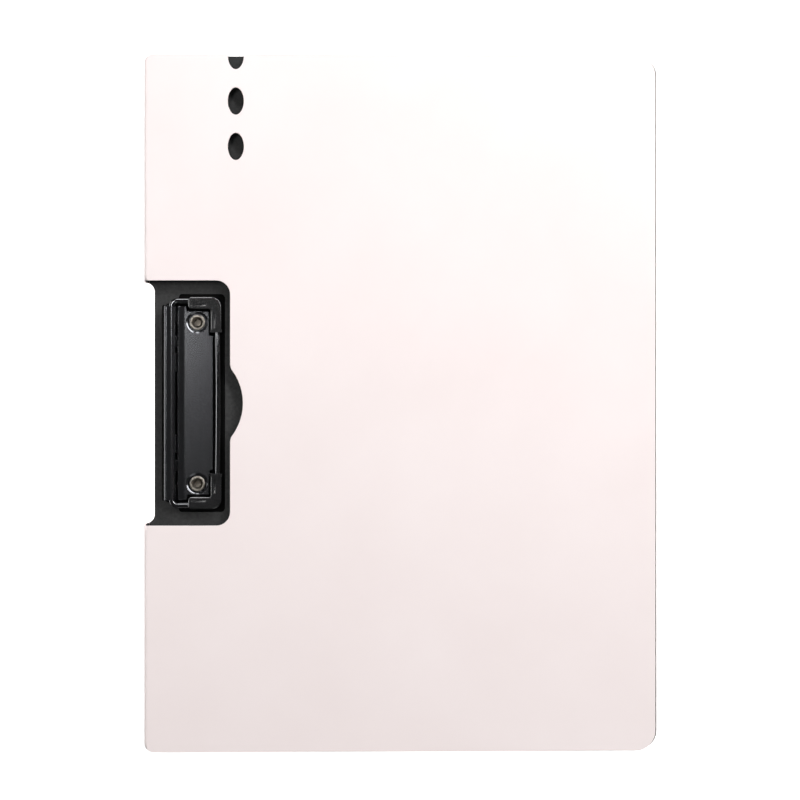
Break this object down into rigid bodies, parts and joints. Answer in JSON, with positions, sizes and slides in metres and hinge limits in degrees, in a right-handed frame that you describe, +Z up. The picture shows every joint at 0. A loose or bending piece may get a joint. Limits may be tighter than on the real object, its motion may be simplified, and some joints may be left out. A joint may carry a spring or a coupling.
{
  "type": "clipboard",
  "caption": "Folding A4 clipboard: stiff back board with a low side clip, and a soft front cover cut out round the clip and joined by a creased spine.",
  "frame": {"origin": "middle of the back panel's outer face, on the surface that the clipboard lies on", "axes": "+X from the spine to the free edge, +Y along the spine towards the pen holes, +Z up through the closed cover"},
  "size_m": [0.232, 0.315, 0.0123],
  "materials": {
    "cover_plastic": "smooth matte, pale pink",
    "board_black": "fine matte black",
    "liner_black": "fine matte black",
    "pad_foam": "dull black foam",
    "clip_steel": "satin black lacquer",
    "bail_steel": "gloss black lacquer",
    "grip_plastic": "satin black moulding",
    "rivet_nickel": "nickel plate",
    "pin_steel": "bright drawn wire",
    "spring_steel": "oiled spring wire"
  },
  "bodies": {
    "back": {"back_skin": "cover_plastic", "back_board": "board_black", "clip_pad": "pad_foam", "clip_base": "clip_steel", "hinge_pin": "pin_steel", "back_crease_upper": "cover_plastic", "back_crease_lower": "cover_plastic", "torsion_spring_upper": "spring_steel", "torsion_spring_lower": "spring_steel", "rivet_upper": "rivet_nickel", "rivet_lower": "rivet_nickel"},
    "spine": {"spine_skin_upper": "cover_plastic", "spine_skin_lower": "cover_plastic", "spine_liner_upper": "liner_black", "spine_liner_lower": "liner_black", "front_crease_upper": "cover_plastic", "front_crease_lower": "cover_plastic"},
    "front_cover": {"front_skin": "cover_plastic", "front_liner": "liner_black"},
    "clip_jaw": {"clip_lever": "clip_steel", "bail_wire": "bail_steel", "corner_grip_upper": "grip_plastic", "corner_grip_lower": "grip_plastic"}
  },
  "joints": [
    {"name": "spine_fold", "type": "hinge", "parent": "back", "child": "spine", "pos_m": [-0.1156, 0, 0.0004], "axis": [0, -1, 0], "range_deg": [0, 178], "deforming": ["back_crease_upper", "back_crease_lower"]},
    {"name": "cover_fold", "type": "hinge", "parent": "spine", "child": "front_cover", "pos_m": [-0.1156, 0, 0.0084], "axis": [0, -1, 0], "range_deg": [0, 179], "deforming": ["front_crease_upper", "front_crease_lower"]},
    {"name": "clip_open", "type": "hinge", "parent": "back", "child": "clip_jaw", "pos_m": [-0.1037, 0, 0.006], "axis": [0, -1, 0], "range_deg": [0, 48], "stiffness_Nm_per_rad": 0.12, "springref_deg": -57.3, "deforming": ["torsion_spring_upper", "torsion_spring_lower"]}
  ]
}
